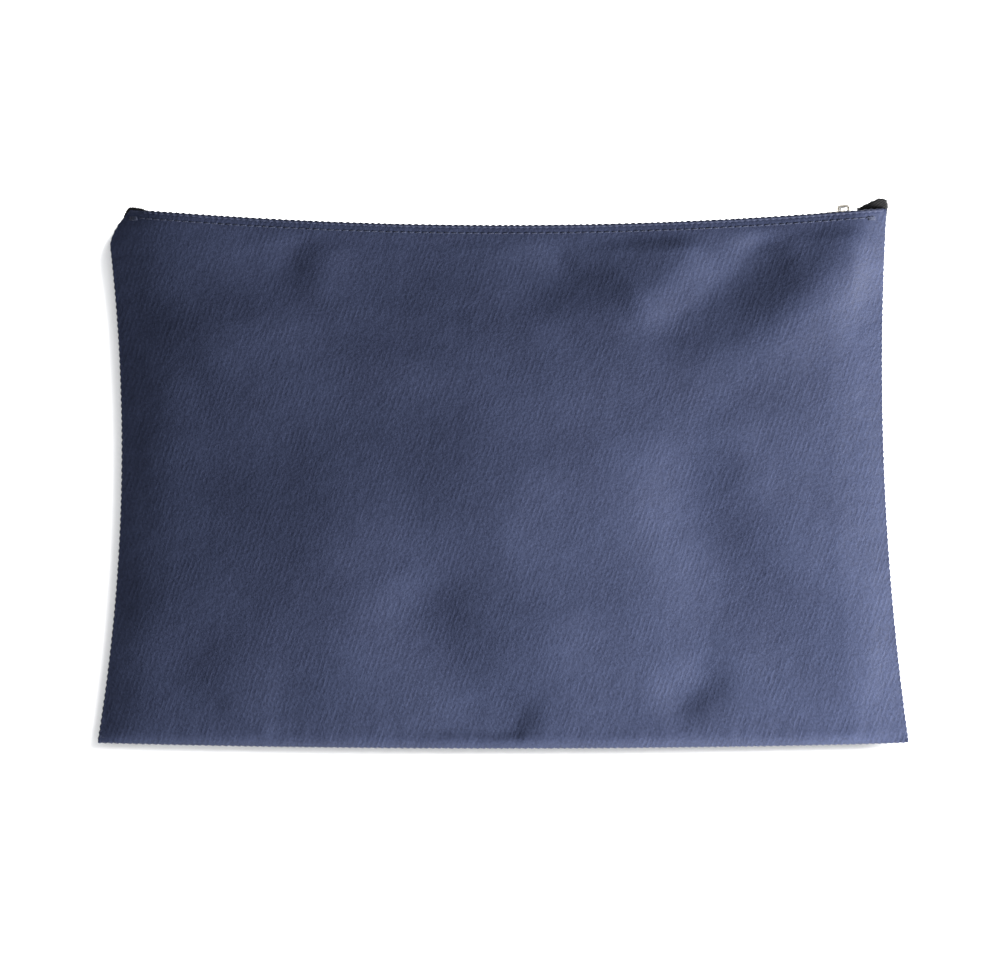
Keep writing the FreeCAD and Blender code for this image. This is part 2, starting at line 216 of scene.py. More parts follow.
def lift(gap, run, power):
    """Rise from 0 at an edge to 1 at a distance of run, steepest at the edge."""
    return 1 - (1 - np.clip(gap / run, 0, 1)) ** power


def rise(edge_gaps, rises):
    """Product of the lifts from several edges."""
    return math.prod(lift(gap, run, power) for gap, (run, power) in zip(edge_gaps, rises))


def hem_z(to_left, to_right):
    """Height of the front hem, which closes towards the side seams."""
    return mix(HEM_END_Z, HEM_Z, rise((to_left, to_right), HEM_RISE))


def front_z(x, y):
    """Height of the front panel's outer face."""
    to_left, to_right, to_bottom, to_top = gaps(x, y)
    seams = (to_left, to_right, to_bottom)
    share = EDGE_SHARE * rise(seams, EDGE_RISE) + (1 - EDGE_SHARE) * rise(seams, BROAD_RISE)
    dome = ZIP_Z + CLOTH + DOME * share
    z = mix(dome, hem_z(to_left, to_right), smooth((HEM_BLEND - to_top) / HEM_BLEND_RUN))
    z += fold_shift(x, y)
    z += 0.02 * ripples(x, y, *FINE_RIPPLES) * smooth(to_left / 6) * smooth(to_right / 6)
    pulled = 0.5 + 0.5 * np.cos(2 * math.pi * x / STITCH_PITCH)
    z -= TRENCH * (1 + pulled) * np.exp(-((to_top - STITCH_ROW) / TRENCH_HALF) ** 2)
    z -= 0.55 * np.exp(-to_top / EDGE_FALL)
    for gap, along in ((to_left, y), (to_right, y), (to_bottom, x)):
        wave = np.sin(2 * math.pi * along / PUCKER_PITCH + 2 * np.sin(along / 17.0))
        z += PUCKER * wave * np.exp(-gap / PUCKER_DEPTH) * smooth(gap / 2.5)
    return z


def thickness(to_top):
    """Cloth thickness at a distance below the top edge: the hem is folded double."""
    return CLOTH * (1 + smooth((HEM_DEPTH - to_top) / HEM_STEP))


def end_gap(to_top):
    return END_GAP * smooth((END_GAP_DEPTH - to_top) / END_GAP_RUN)


def back_z(x, y):
    """Height of the back panel's outer face."""
    to_left, to_right, to_bottom, to_top = gaps(x, y)
    run = mix(22.0, 11.0, smooth((50 - to_top) / 38))   # width of the lifted rim, narrower at the hem
    flat = smooth(to_left / run) * smooth(to_right / run) * smooth(to_bottom / run)
    z = (ZIP_Z - end_gap(to_top) - thickness(to_top)) * (1 - flat)
    rim = smooth(to_left / 3) * smooth(to_right / 3) * smooth(to_bottom / 3)
    z += 0.25 * (1 - flat) * rim * ripples(x, y, *BACK_RIPPLES)
    return z + 0.5 * np.exp(-to_top / EDGE_FALL)


# ---------------------------------------------------------------- mesh helpers

def new_mesh(name, points, faces, body=None):
    mesh = bpy.data.meshes.new(name)
    mesh.from_pydata([tuple(p) for p in (np.asarray(points) * MM).tolist()], [], faces)
    mesh.validate()
    mesh.shade_smooth()
    obj = bpy.data.objects.new(name, mesh)
    bpy.context.scene.collection.objects.link(obj)
    if body:
        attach(obj, body)
    return obj


def grid_quads(rows, cols, first=0, flip=False):
    r = np.arange(rows - 1)[:, None] * cols + np.arange(cols - 1)[None, :] + first
    quads = np.stack([r, r + 1, r + cols + 1, r + cols], axis=-1).reshape(-1, 4)
    return quads[:, ::-1] if flip else quads


def rim_indices(rows, cols):
    """Indices round a grid's edge, in order."""
    i = np.arange(rows * cols).reshape(rows, cols)
    return np.concatenate([i[0, :-1], i[:-1, -1], i[-1, :0:-1], i[:0:-1, 0]])


def grid_normals(x, y, z):
    p = np.stack([x, y, z], axis=-1)
    du, dv = np.gradient(p, axis=1), np.gradient(p, axis=0)
    n = np.cross(du, dv)
    return n / np.linalg.norm(n, axis=-1, keepdims=True)


def cloth_piece(name, x, y, z_up, z_low, normals_up, normals_low):
    """Closed cloth piece between two height grids, with the whole panel's own normals on both faces."""
    rows, cols = x.shape
    count = rows * cols
    up = np.stack([x, y, z_up], axis=-1).reshape(-1, 3)
    low = np.stack([x, y, z_low], axis=-1).reshape(-1, 3)
    rim = rim_indices(rows, cols)
    wall = np.concatenate([up[rim], low[rim]])
    points = np.concatenate([up, low, wall])
    n = len(rim)
    a = 2 * count + np.arange(n)
    b = 2 * count + (np.arange(n) + 1) % n
    walls = np.stack([a, a + n, b + n, b], axis=-1)
    faces = np.concatenate([grid_quads(rows, cols), grid_quads(rows, cols, count, True), walls]).tolist()
    obj = new_mesh(name, points, faces)
    centre = up.mean(axis=0)
    side = wall - centre
    side[:, 2] = 0
    side /= np.linalg.norm(side, axis=1, keepdims=True)
    vertex_normals = np.concatenate([normals_up.reshape(-1, 3), -normals_low.reshape(-1, 3), side])
    obj.data.normals_split_custom_set_from_vertices(vertex_normals.tolist())
    return obj


def skin(rings, around):
    """Faces of a closed tube through rings of points, with flat ends."""
    faces = []
    for i in range(rings - 1):
        for k in range(around):
            j = (k + 1) % around
            faces.append((i * around + k, i * around + j, (i + 1) * around + j, (i + 1) * around + k))
    last = (rings - 1) * around
    return faces + [tuple(range(around))[::-1], tuple(last + k for k in range(around))]


def turned(faces):
    return [face[::-1] for face in faces]


def tube(path, radius, around, wobble=None):
    """Round tube along points (mm). wobble(distance, angle) scales its radius."""
    path = np.asarray(path, float)
    tangent = np.gradient(path, axis=0)
    tangent /= np.linalg.norm(tangent, axis=1, keepdims=True)
    side = np.cross(tangent, (0.0, 0.0, 1.0))
    side[np.linalg.norm(side, axis=1) < 1e-3] = (1.0, 0.0, 0.0)     # where the path is upright
    side /= np.linalg.norm(side, axis=1, keepdims=True)
    over = np.cross(side, tangent)
    steps = np.linalg.norm(np.diff(path, axis=0), axis=1)
    distance = np.concatenate([[0], np.cumsum(steps)])
    angle = 2 * math.pi * np.arange(around) / around
    scale = np.ones((len(path), around)) if wobble is None else wobble(distance[:, None], angle[None, :])
    ring = (side[:, None, :] * (np.cos(angle)[None, :] * scale)[..., None]
            + over[:, None, :] * (np.sin(angle)[None, :] * scale)[..., None])
    points = (path[:, None, :] + radius * ring).reshape(-1, 3)
    return points, skin(len(path), around)


def joined(parts):
    """One list of points and faces from several."""
    points, faces, first = [], [], 0
    for p, f in parts:
        points.append(np.asarray(p))
        faces += [tuple(i + first for i in face) for face in f]
        first += len(p)
    return np.concatenate(points), faces


def on_arc(s, outward, height):
    """Point beside the zip: distance along it, outward of its middle, above its middle."""
    angle = np.asarray(s) / ZIP_R
    r = ZIP_R - outward
    x, y = r * np.sin(angle), PIVOT_Y - r * np.cos(angle)
    return np.stack(np.broadcast_arrays(x, y, ZIP_Z + height), axis=-1)


# ---------------------------------------------------------------- materials

class Nodes:
    """Short-hand to build a material."""

    def __init__(self, name):
        self.material = bpy.data.materials.new(name)
        self.material.use_nodes = True
        self.tree = self.material.node_tree
        self.shader = self.tree.nodes["Principled BSDF"]

    def add(self, kind, **values):
        node = self.tree.nodes.new(kind)
        for key, value in values.items():
            setattr(node, key, value)
        return node

    def link(self, a, b):
        self.tree.links.new(a, b)

    def math(self, operation, a, b=None):
        node = self.add("ShaderNodeMath", operation=operation)
        for i, value in enumerate((a, b)):
            if value is None:
                continue
            if isinstance(value, (int, float)):
                node.inputs[i].default_value = value
            else:
                self.link(value, node.inputs[i])
        return node.outputs[0]

    def position(self):
        """The surface point in millimetres, in the piece's own space."""
        coordinates = self.add("ShaderNodeTexCoord")
        scale = self.add("ShaderNodeVectorMath", operation="SCALE")
        scale.inputs["Scale"].default_value = 1 / MM
        self.link(coordinates.outputs["Object"], scale.inputs[0])
        return scale.outputs[0]

    def noise(self, vector, size, detail=2.0, rough=0.5):
        node = self.add("ShaderNodeTexNoise")
        node.inputs["Scale"].default_value = 1 / size
        node.inputs["Detail"].default_value = detail
        node.inputs["Roughness"].default_value = rough
        self.link(vector, node.inputs["Vector"])
        return node.outputs["Fac"]

    def wave(self, vector, direction, pitch, phase=None):
        """Sine from -1 to 1 along a direction."""
        dot = self.add("ShaderNodeVectorMath", operation="DOT_PRODUCT")
        k = 2 * math.pi / pitch
        dot.inputs[1].default_value = (k * direction[0], k * direction[1], k * direction[2])
        self.link(vector, dot.inputs[0])
        value = dot.outputs["Value"]
        if phase is not None:
            value = self.math("ADD", value, phase)
        return self.math("SINE", value)

    def ramp(self, value, stops):
        node = self.add("ShaderNodeValToRGB")
        ramp = node.color_ramp
        while len(ramp.elements) < len(stops):
            ramp.elements.new(0.5)
        for element, (at, colour) in zip(ramp.elements, stops):
            element.position = at
            element.color = (*colour, 1)
        self.link(value, node.inputs["Fac"])
        return node.outputs["Color"]

    def weighted_sum(self, *parts):
        """Sum of (value, weight) pairs. A weight of None leaves the value as it is."""
        total = None
        for value, weight in parts:
            part = value if weight is None else self.math("MULTIPLY", value, weight)
            total = part if total is None else self.math("ADD", total, part)
        return total

    def bump(self, height, distance):
        node = self.add("ShaderNodeBump")
        node.inputs["Strength"].default_value = 1.0
        node.inputs["Distance"].default_value = distance * MM
        self.link(height, node.inputs["Height"])
        self.link(node.outputs["Normal"], self.shader.inputs["Normal"])

    def set(self, **values):
        """Plain values of the shader's inputs, with _ for a space in their names."""
        for name, value in values.items():
            self.shader.inputs[name.replace("_", " ")].default_value = value


RIB_ANGLE = math.radians(71)       # the twill ribs' lean
RIB_PITCH = 1.95
CROSS_ANGLE, CROSS_PITCH = math.radians(-52), 2.95   # a fainter set of ribs across them
WEAVE_PITCH = 0.62
DRIFT_SIZE, FINE_DRIFT_SIZE = 14.0, 2.2              # sizes of the ribs' slow and quick wander
GRAIN_SIZE, FLECK_SIZE, PATCH_SIZE, WORN_SIZE = 1.2, 0.45, 26.0, 9.0
DARK_NAVY, LIGHT_NAVY = (0.0100, 0.0136, 0.0322), (0.0204, 0.0268, 0.0570)


def cloth_material():
    m = Nodes("navy_cloth")
    p = m.position()
    drift = m.math("MULTIPLY", m.noise(p, DRIFT_SIZE), 4.0)
    fine_drift = m.math("MULTIPLY", m.noise(p, FINE_DRIFT_SIZE), 2.6)
    shift = m.weighted_sum((drift, None), (fine_drift, 0.5))
    across = (math.sin(RIB_ANGLE), -math.cos(RIB_ANGLE), 0.0)
    rib = m.wave(p, across, RIB_PITCH, shift)
    half_rib = m.wave(p, across, RIB_PITCH / 2, m.math("MULTIPLY", shift, 1.7))
    cross = m.wave(p, (math.cos(CROSS_ANGLE), math.sin(CROSS_ANGLE), 0.0), CROSS_PITCH, drift)
    warp = m.wave(p, (1, 0, 0), WEAVE_PITCH, m.math("MULTIPLY", fine_drift, 1.2))
    weft = m.wave(p, (0, 1, 0), WEAVE_PITCH, m.math("MULTIPLY", drift, 1.2))
    weave = m.math("MULTIPLY", warp, weft)
    grain = m.noise(p, GRAIN_SIZE, 2, 0.55)
    fleck, patch = m.noise(p, FLECK_SIZE), m.noise(p, PATCH_SIZE, 3)
    # the ribs show more in some places than in others
    raised = m.math("SUBTRACT", m.math("MULTIPLY", m.noise(p, WORN_SIZE), 3.0), 0.9)
    ribs = m.weighted_sum((rib, 0.13), (half_rib, 0.05))
    ribs = m.math("MULTIPLY", ribs, m.math("MAXIMUM", raised, 0.2))
    m.bump(m.weighted_sum((ribs, None), (cross, 0.04), (weave, 0.16), (grain, 2.2)), 0.085)
    tone = m.weighted_sum((ribs, 0.55), (grain, 0.42), (patch, 0.28), (fleck, 0.30))
    m.link(m.ramp(tone, [(0.36, DARK_NAVY), (0.64, LIGHT_NAVY)]), m.shader.inputs["Base Color"])
    m.link(m.math("ADD", m.math("MULTIPLY", grain, 0.2), 0.55), m.shader.inputs["Roughness"])
    m.set(Specular_IOR_Level=0.12, Sheen_Weight=0.02, Sheen_Roughness=0.5, Sheen_Tint=(0.8, 0.9, 1.0, 1))
    return m.material


def thread_material(name, dark, light, rough=0.6):
    m = Nodes(name)
    p = m.position()
    twist = m.wave(p, (1.0, 0.55, 0.4), 0.42)
    fuzz = m.noise(p, 0.25, 3, 0.7)
    m.bump(m.weighted_sum((twist, 0.5), (fuzz, None)), 0.05)
    m.link(m.ramp(fuzz, [(0.25, dark), (0.75, light)]), m.shader.inputs["Base Color"])
    m.set(Roughness=rough, Specular_IOR_Level=0.12, Sheen_Weight=0.03)
    return m.material


def tape_material():
    m = Nodes("zip_tape")
    p = m.position()
    fuzz = m.noise(p, 0.3, 3, 0.7)
    warp = m.wave(p, (1, 0.4, 0), 0.9)
    weft = m.wave(p, (0.3, 1, 0.6), 0.7, m.math("MULTIPLY", fuzz, 2.0))
    m.bump(m.math("ADD", m.math("MULTIPLY", warp, weft), fuzz), 0.12)
    m.link(m.ramp(fuzz, [(0.3, (0.004, 0.004, 0.005)), (0.75, (0.016, 0.016, 0.017))]),
           m.shader.inputs["Base Color"])
    m.set(Roughness=0.8, Specular_IOR_Level=0.2, Sheen_Weight=0.03)
    return m.material


def nylon_material():
    m = Nodes("zip_nylon")
    p = m.position()
    mottled = m.noise(p, 1.4, 3)
    m.bump(m.noise(p, 0.2), 0.01)
    m.link(m.ramp(mottled, [(0.3, (0.010, 0.010, 0.012)), (0.7, (0.020, 0.020, 0.023))]),
           m.shader.inputs["Base Color"])
    m.link(m.math("ADD", m.math("MULTIPLY", mottled, 0.2), 0.25), m.shader.inputs["Roughness"])
    return m.material


def metal_material(name, dark, light, rough):
    m = Nodes(name)
    p = m.position()
    scratch = m.noise(p, 0.8, 4, 0.65)
    m.bump(m.noise(p, 0.35, 3, 0.6), 0.012)
    m.link(m.ramp(scratch, [(0.3, dark), (0.7, light)]), m.shader.inputs["Base Color"])
    m.link(m.math("ADD", m.math("MULTIPLY", scratch, 0.16), rough), m.shader.inputs["Roughness"])
    m.set(Metallic=1.0)
    return m.material


CLOTH_LOOK = cloth_material()
THREAD_LOOK = thread_material("navy_thread", (0.016, 0.020, 0.039), (0.031, 0.037, 0.062))
EDGE_LOOK = thread_material("edge_thread", (0.012, 0.015, 0.034), (0.022, 0.028, 0.055), 0.65)
COIL_THREAD_LOOK = thread_material("coil_thread", (0.010, 0.010, 0.012), (0.030, 0.030, 0.034))
TAPE_LOOK = tape_material()
NYLON_LOOK = nylon_material()
NICKEL_LOOK = metal_material("nickel_plate", (0.36, 0.33, 0.28), (0.56, 0.52, 0.45), 0.16)
SPRING_LOOK = metal_material("spring_steel", (0.36, 0.36, 0.37), (0.52, 0.52, 0.53), 0.25)


def finish_piece(obj, look, slot, *nodes):
    obj.data.materials.clear()
    obj.data.materials.append(look)
    if nodes:
        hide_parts(*nodes)
    return obj


# ---------------------------------------------------------------- the opening side's pieces


def follow_mouth(obj):
    """Left or right half of the opening side: its placement is baked into its mesh."""
    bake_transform(obj)


# ---------------------------------------------------------------- panels

FRONT_CELL, BACK_CELL = 1.0, 1.25      # mesh size of the cloth
PANEL_WIDTH, PANEL_HEIGHT = 320, 214   # lengths that set how many cells a panel has


def panel_grid(cell):
    u = np.linspace(0, 1, int(PANEL_WIDTH / cell) + 1)
    v = np.linspace(0, 1, int(PANEL_HEIGHT / cell) + 1)
    return plan(u[None, :], v[:, None])


def front_panel():
    """The front cloth, split along the mouth's hinge line and its middle."""
    x, y = panel_grid(FRONT_CELL)
    to_top = top_y(x) - y
    z = front_z(x, y)
    inner = np.maximum(z - thickness(to_top), ZIP_Z + end_gap(to_top) - 0.02)
    up, low = grid_normals(x, y, z), grid_normals(x, y, inner)
    col = x.shape[1] // 2
    row = int(np.argmin(np.abs(y[:, col] - HINGE_Y)))
    pieces = {}
    for name, rows, cols in (("front_cloth_lower", slice(0, row + 1), slice(None)),
                             ("front_cloth_left", slice(row, None), slice(0, col + 1)),
                             ("front_cloth_right", slice(row, None), slice(col, None))):
        part = (rows, cols)
        pieces[name] = cloth_piece(name, x[part], y[part], z[part], inner[part], up[part], low[part])
    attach(pieces["front_cloth_lower"], BAG)
    follow_mouth(pieces["front_cloth_left"])
    follow_mouth(pieces["front_cloth_right"])
    finish_piece(pieces["front_cloth_lower"], CLOTH_LOOK, "cloth", "front_panel")
    finish_piece(pieces["front_cloth_left"], CLOTH_LOOK, "cloth", "front_panel_mouth")
    finish_piece(pieces["front_cloth_right"], CLOTH_LOOK, "cloth")
    return pieces


def back_panel():
    x, y = panel_grid(BACK_CELL)
    z = np.maximum(back_z(x, y), 0.0)
    upper = np.minimum(z + thickness(top_y(x) - y), ZIP_Z)
    piece = cloth_piece("back_cloth", x, y, upper, z, grid_normals(x, y, upper), grid_normals(x, y, z))
    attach(piece, BAG)
    return finish_piece(piece, CLOTH_LOOK, "cloth", "back_panel")


# ---------------------------------------------------------------- rolled and overcast edges

ROLL_STEP = 0.4                # distance between the points of a rolled edge
SEAM_INSET, SEAM_ROLL, HEM_ROLL = 0.55, 0.78, 0.72   # the rolls' distance in from the edge and radii


def seam_path(side, inset):
    """Points along a seam in plan."""
    if side == "bottom":
        x = np.arange(left_x(BOTTOM_Y) + ROLL_STEP, right_x(BOTTOM_Y) - ROLL_STEP, ROLL_STEP)
        return x, bottom_y(x) + inset
    top = float(top_y(np.array(150.0))) - (4.0 if side == "left" else 1.0)
    y = np.arange(bottom_y(HALF_BOTTOM) + ROLL_STEP, top, ROLL_STEP)
    x = left_x(y) + inset if side == "left" else right_x(y) - inset
    return x, y


def rope(distance, angle):
    """Diagonal ribs of the cloth folded over an edge."""
    wander = 0.9 * np.sin(distance / 13.0) + 0.6 * np.sin(distance / 5.3)
    rib = np.sin(2 * math.pi * distance / 2.6 + 1.5 * angle + wander)
    fine = np.sin(2 * math.pi * distance / 0.9 - angle)
    return 1 + 0.24 * rib + 0.03 * fine


def edge_roll(name, x, y, z, radius):
    points, faces = tube(np.stack([x, y, z], axis=-1), radius, 12, wobble=rope)
    return new_mesh(name, points, faces)


def seam_rolls():
    for side in ("left", "right", "bottom"):
        x, y = seam_path(side, SEAM_INSET)
        roll = edge_roll("seam_edge_" + side, x, y, np.full_like(x, ZIP_Z), SEAM_ROLL)
        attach(roll, BAG)
        finish_piece(roll, EDGE_LOOK, "cloth")


def hem_rolls():
    """The folded top edges of both hems."""
    x = np.arange(-148.0, 157.6, ROLL_STEP)
    y = top_y(x)
    z_front = front_z(x, y - 1.2) - 0.55
    z_back = back_z(x, y - 1.2) + 0.75
    back = edge_roll("hem_edge_back", x, y - SEAM_INSET, z_back, HEM_ROLL)
    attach(back, BAG)
    finish_piece(back, EDGE_LOOK, "cloth")
    for side, keep in (("left", x <= 0.2), ("right", x >= -0.2)):
        roll = edge_roll("hem_edge_front_" + side, x[keep], y[keep] - 0.5, z_front[keep], SEAM_ROLL)
        follow_mouth(roll)
        finish_piece(roll, EDGE_LOOK, "cloth")


# ---------------------------------------------------------------- sewing

def stitch(start, end, arch, radius):
    """One visible stitch: a short arched thread that dives into the cloth at both ends."""
    t = np.linspace(0, 1, 7)[:, None]
    path = start + (end - start) * t + arch * np.sin(math.pi * t) ** 0.7
    return tube(path, radius, 6)


def stitch_row(x0, x1, height, arch, radius, seed):
    """Stitches in a row parallel to the top edge, on the surface height(x, y)."""
    rng = np.random.default_rng(seed)
    parts = []
    for x in np.arange(x0, x1, STITCH_PITCH):
        a = x + rng.uniform(-0.06, 0.06)
        b = a + STITCH_LONG
        lean = rng.uniform(-0.07, 0.07)
        ends = []
        for at, shift in ((a, lean), (b, -lean)):
            y = float(top_y(np.array(at))) - STITCH_ROW + shift
            ends.append(np.array([at, y, height(np.array(at), np.array(y))]))
        parts.append(stitch(ends[0], ends[1], np.array([0, 0, arch]), radius))
    return joined(parts)


def topstitching():
    def on_front(x, y):
        return float(front_z(x, y)) - 0.05

    def on_back(x, y):
        return float(back_z(x, y)) + 0.12

    for side, x0, x1, seed, node in (("left", -150.0, -1.0, 21, "topstitch_front"),
                                     ("right", 0.0, 153.0, 22, "topstitch_front_ends")):
        points, faces = stitch_row(x0, x1, on_front, 0.18, 0.23, seed)
        row = new_mesh("topstitch_front_" + side, points, faces)
        follow_mouth(row)
        finish_piece(row, THREAD_LOOK, "thread", node)
    points, faces = stitch_row(-150.0, 152.0, on_back, -0.1, 0.2, 23)
    row = new_mesh("topstitch_back_row", points, faces, BAG)
    finish_piece(row, THREAD_LOOK, "thread", "topstitch_back")


def back_tacks():
    """A short bar of overlapping stitches at each end of the zip."""
    for side, x in (("left", -BACK_TACK_X), ("right", BACK_TACK_X)):
        rng = np.random.default_rng(31)
        parts = []
        for k in range(7):
            x0 = x - BACK_TACK / 2 + rng.uniform(-0.15, 0.15)
            x1 = x0 + BACK_TACK
            y0 = BACK_TACK_Y - 0.6 + 0.2 * k
            z0, z1 = (float(front_z(np.array(at), np.array(y0))) for at in (x0, x1))
            start, end = np.array([x0, y0, z0]), np.array([x1, y0 + 0.1, z1])
            parts.append(stitch(start, end, np.array([0, 0, 0.3]), 0.2))
        points, faces = joined(parts)
        tack = new_mesh("back_tack_thread_" + side, points, faces, BAG)
        finish_piece(tack, THREAD_LOOK, "thread", "back_tack_" + side)


# ---------------------------------------------------------------- zip

def zip_pieces(label, shape, start, end, look, slot, node):
    """The back piece and both halves of the front one. shape(start, end, side) makes each."""
    points, faces = shape(start, end, -1)
    finish_piece(new_mesh(label + "_back", points, faces, BAG), look, slot, node + "_back")
    for side, first, last, replaced in (("left", start, 0, node + "_front"),
                                        ("right", 0, end, node + "_front_ends")):
        points, faces = shape(first, last, 1)
        piece = new_mesh(label + "_front_" + side, points, faces)
        follow_mouth(piece)
        finish_piece(piece, look, slot, replaced)


COIL_PITCH, COIL_WIRE, COIL_STEPS = 1.3, 0.27, 14    # length of a turn, wire radius, points in a turn
COIL_MID, COIL_HALF = (0.72, 1.15), (0.5, 0.95)      # of a turn: outward, and up from the zip's middle


def coil_turns(start, end, side):
    """Flattened helix. side is 1 for the front coil and -1 for the back one."""
    turns = (end - start) / COIL_PITCH
    t = np.linspace(0, turns, int(turns * COIL_STEPS) + 1)
    angle = 2 * math.pi * t + (math.pi if side < 0 else 0)
    outward = COIL_MID[0] - COIL_HALF[0] * np.cos(angle)
    height = COIL_MID[1] - COIL_HALF[1] * np.sin(angle)
    return tube(on_arc(start + t * COIL_PITCH, outward, side * height), COIL_WIRE, 6)


def coil_stitches(start, end, side):
    """Row of stitches that holds a coil to its tape."""
    outward, height, long = 1.38, 1.75, 1.15
    parts = []
    for s in np.arange(start, end - 1.2, COIL_PITCH):
        a, b = on_arc(s, outward, side * height), on_arc(s + long, outward, side * height)
        parts.append(stitch(a, b, np.array([0, 0.16, 0]), 0.14))
    return joined(parts)


def tape_mesh(start, end, side):
    """L-shaped tape: a strip beside the coil and a leg down inside the hem, with soft corners."""
    inner = TAPE_IN - TAPE
    outline = [(0.02, 1.05), (0.0, 2.2), (-0.02, 3.4), (-0.05, 4.1), (-0.25, TAPE_IN - 0.12), (-0.8, TAPE_IN),
               (-3, TAPE_IN), (-6, TAPE_IN), (-TAPE_DEPTH, TAPE_IN), (-TAPE_DEPTH - 0.15, TAPE_IN - 0.28),
               (-TAPE_DEPTH, inner), (-6, inner), (-3, inner), (-1.0, inner), (-0.62, inner - 0.15),
               (-0.55, 3.4), (-0.55, 2.2), (-0.5, 1.05), (-0.25, 0.95)]
    s = np.linspace(start, end, int(end - start) + 1)
    rings = []
    for outward, height in outline:
        wave = 0.05 * np.sin(s / 3.1 + height) + 0.03 * np.sin(s / 1.3)
        ring = on_arc(s, outward + wave, side * (height + 0 * s))
        if side > 0:
            # the front tape stays under the hem, which closes at its ends, and follows the folds
            to_left, to_right, _, _ = gaps(ring[:, 0], ring[:, 1])
            room = hem_z(to_left, to_right) - 2 * CLOTH - 0.1 - ZIP_Z
            ring[:, 2] = ZIP_Z + height * np.clip(room / TAPE_IN, 0.3, 1)
            if outward < -0.7:
                ring[:, 2] += fold_shift(ring[:, 0], ring[:, 1])
        rings.append(ring)
    points = np.stack(rings, axis=1).reshape(-1, 3)
    faces = skin(len(s), len(outline))
    return points, faces if side > 0 else turned(faces)


def zip_run():
    zip_pieces("coil_turns", coil_turns, COIL_START, COIL_END, NYLON_LOOK, "zip_coil", "coil")
    zip_pieces("coil_thread", coil_stitches, COIL_START, COIL_END, COIL_THREAD_LOOK, "coil_thread",
               "coil_stitching")
    zip_pieces("tape", tape_mesh, -TAPE_HALF, TAPE_HALF, TAPE_LOOK, "zip_tape", "zip_tape")


# Outlines in plan of the folded tape ends
END_TABS = {
    "right": [(149.0, 101), (148.6, 108.2), (146.0, 109.2), (149.5, 110.9), (152.5, 112.4), (155.4, 113.65),
              (157.4, 113.75), (159.0, 113.0), (159.6, 111.2), (159.5, 109.5), (158.1, 101)],
    "left": [(-149, 101), (-146.5, 108.6), (-150.0, 109.7), (-154.2, 110.2), (-155.8, 108.6), (-157.2, 105.0),
             (-157.4, 101)],
}


TAB_HALF = 0.72                # half thickness of a folded tape end
TAB_STEP = 0.35                # distance between the points of its rim


def tab_rim(corners):
    """Points at even steps along the straight sides between the corners."""
    corners = np.array(corners, float)
    sides = []
    for a, b in zip(corners, np.roll(corners, -1, axis=0)):
        count = max(2, int(np.linalg.norm(b - a) / TAB_STEP))
        sides.append(a + (b - a) * np.linspace(0, 1, count, endpoint=False)[:, None])
    return np.concatenate(sides)


def end_tabs():
    """Folded tape ends: a flat loop with a ragged edge."""
    for side, corners in END_TABS.items():
        rim = tab_rim(corners)
        centre = rim.mean(axis=0)
        out = rim - centre
        out /= np.linalg.norm(out, axis=1, keepdims=True)
        k = np.arange(len(rim))
        ragged = 0.14 * np.sin(k * 1.9) + 0.08 * np.sin(k * 0.7)
        upper = ((6.0, TAB_HALF), (3.0, TAB_HALF + 0.05), (1.2, TAB_HALF), (0.45, TAB_HALF * 0.85))
        lower = tuple((inset, -z) for inset, z in reversed(upper))
        rings = []
        for inset, z in (*upper, (0.0, 0.0), *lower):
            shrink = np.clip(1 - inset / 6.6, 0.02, 1)
            ring = centre + (rim - centre) * shrink + out * ragged[:, None] * (1 if inset < 1 else 0)
            rings.append(np.column_stack([ring, np.full(len(ring), ZIP_Z + z)]))
        faces = skin(len(rings), len(rim))
        area = 0.5 * np.sum(rim[:, 0] * np.roll(rim[:, 1], -1) - np.roll(rim[:, 0], -1) * rim[:, 1])
        tab = new_mesh("tape_end_" + side, np.concatenate(rings), faces if area < 0 else turned(faces), BAG)
        finish_piece(tab, TAPE_LOOK, "zip_tape", "end_tab_" + side)


# ---------------------------------------------------------------- slider, pull and stops

def rounded_copy(node, name, body, width):
    """A CAD piece with its edges rounded."""
    source = frame["nodes"][node]
    obj = bpy.data.objects.new(name, source.data.copy())
    bpy.context.scene.collection.objects.link(obj)
    obj.matrix_world = source.matrix_world
    weld = obj.modifiers.new("weld", "WELD")
    weld.merge_threshold = 1e-6
    bevel = obj.modifiers.new("round", "BEVEL")
    bevel.width = width * MM
    bevel.segments = 3
    bevel.limit_method = "ANGLE"
    bevel.angle_limit = math.radians(35)
    bevel.harden_normals = False
    bpy.context.view_layer.update()
    evaluated = obj.evaluated_get(bpy.context.evaluated_depsgraph_get())
    final = bpy.data.meshes.new_from_object(evaluated)
    obj.modifiers.clear()
    obj.data = final
    final.shade_smooth()
    final.set_sharp_from_angle(angle=math.radians(38))
    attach(obj, body)
    return obj


def slider_parts():
    for node, name, body, width in (("slider_body", "slider_plates", SLIDER, 0.16),
                                    ("slider_crown", "slider_bail", SLIDER, 0.38),
                                    ("pull_tab", "pull", PULL, 0.16)):
        finish_piece(rounded_copy(node, name, body, width), NICKEL_LOOK, "nickel", node)
    for node in ("top_stop_front", "top_stop_back", "bottom_stop"):
        finish_piece(rounded_copy(node, node + "_moulding", BAG, 0.25), NYLON_LOOK, "zip_stop", node)


